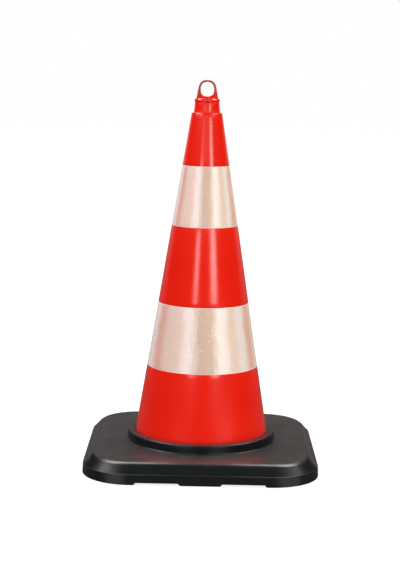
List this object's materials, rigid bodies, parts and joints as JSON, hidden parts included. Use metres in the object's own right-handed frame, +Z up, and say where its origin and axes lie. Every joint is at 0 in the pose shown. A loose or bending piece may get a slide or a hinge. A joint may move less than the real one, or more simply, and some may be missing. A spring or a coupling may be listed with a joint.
{
  "type": "traffic cone",
  "caption": "Red plastic traffic cone with reflective bands, a carrying eye at the top and a heavy square rubber base that lifts off over the cone.",
  "frame": {"origin": "on the ground, on the axis of the cone", "axes": "+Z up along the cone's axis, X and Y along the sides of the square base, the eye's hole along Y"},
  "size_m": [0.546, 0.546, 0.9],
  "materials": {
    "red_plastic": "satin moulded plastic",
    "reflective_sheeting": "silvery white prismatic sheeting",
    "black_rubber": "moulded recycled rubber"
  },
  "bodies": {
    "cone": {"cone_body": "red_plastic", "lower_reflective_band": "reflective_sheeting", "upper_reflective_band": "reflective_sheeting"},
    "base": {"base": "black_rubber"},
    "eye": {"eye_cap": "red_plastic"}
  },
  "joints": [
    {"name": "base_lift", "type": "slide", "parent": "cone", "child": "base", "axis": [0, 0, 1], "range_m": [0, 0.92]},
    {"name": "eye_swivel", "type": "hinge", "parent": "cone", "child": "eye", "pos_m": [0, 0, 0.8476], "axis": [0, 0, 1], "continuous": true}
  ]
}
